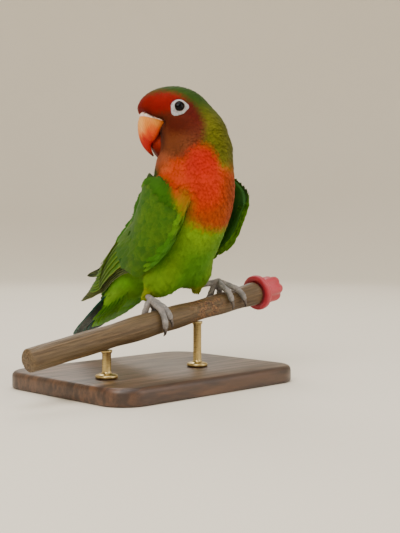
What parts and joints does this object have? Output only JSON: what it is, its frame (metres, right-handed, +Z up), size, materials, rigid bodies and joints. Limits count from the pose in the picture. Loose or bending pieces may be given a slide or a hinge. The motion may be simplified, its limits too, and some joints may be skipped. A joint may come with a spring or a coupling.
{
  "type": "perched lovebird display model",
  "caption": "Still, life-size model of a perched lovebird with its head turned over its right shoulder, on a short length of wooden perch held by a plain stand.",
  "frame": {"origin": "middle of the flat underside of the stand's base", "axes": "+Z up; the bird's body faces -Y and its left side is +X; the perch runs along X and rises towards +X"},
  "size_m": [0.1566, 0.1166, 0.1412],
  "materials": {
    "plumage": "matte",
    "face_plumage": "matte",
    "wing_plumage": "satin",
    "bill": "satin",
    "cere": "matte",
    "bare_skin": "matte",
    "eye": "gloss",
    "foot": "matte",
    "claw": "satin",
    "perch_wood": "natural, worn",
    "cap_plastic": "satin",
    "stand_base": "satin lacquer",
    "stand_rod": "brushed"
  },
  "bodies": {
    "root": {"bill_lower": "bill", "bill_upper": "bill", "cere": "cere", "claw_left_1": "claw", "claw_left_2": "claw", "claw_left_3": "claw", "claw_left_4": "claw", "claw_right_1": "claw", "claw_right_2": "claw", "claw_right_3": "claw", "claw_right_4": "claw", "eye_left": "eye", "eye_right": "eye", "eye_ring_left": "bare_skin", "eye_ring_right": "bare_skin", "foot_left": "foot", "foot_right": "foot", "head": "face_plumage", "neck": "face_plumage", "perch": "perch_wood", "perch_cap": "cap_plastic", "stand_base": "stand_base", "stand_rod_left": "stand_rod", "stand_rod_right": "stand_rod", "tail_coverts": "plumage", "tail_feathers": "wing_plumage", "thigh_left": "plumage", "thigh_right": "plumage", "torso": "plumage", "wing_left_coverts": "wing_plumage", "wing_left_primaries": "wing_plumage", "wing_left_secondaries": "wing_plumage", "wing_right_coverts": "wing_plumage", "wing_right_primaries": "wing_plumage", "wing_right_secondaries": "wing_plumage"}
  },
  "joints": []
}
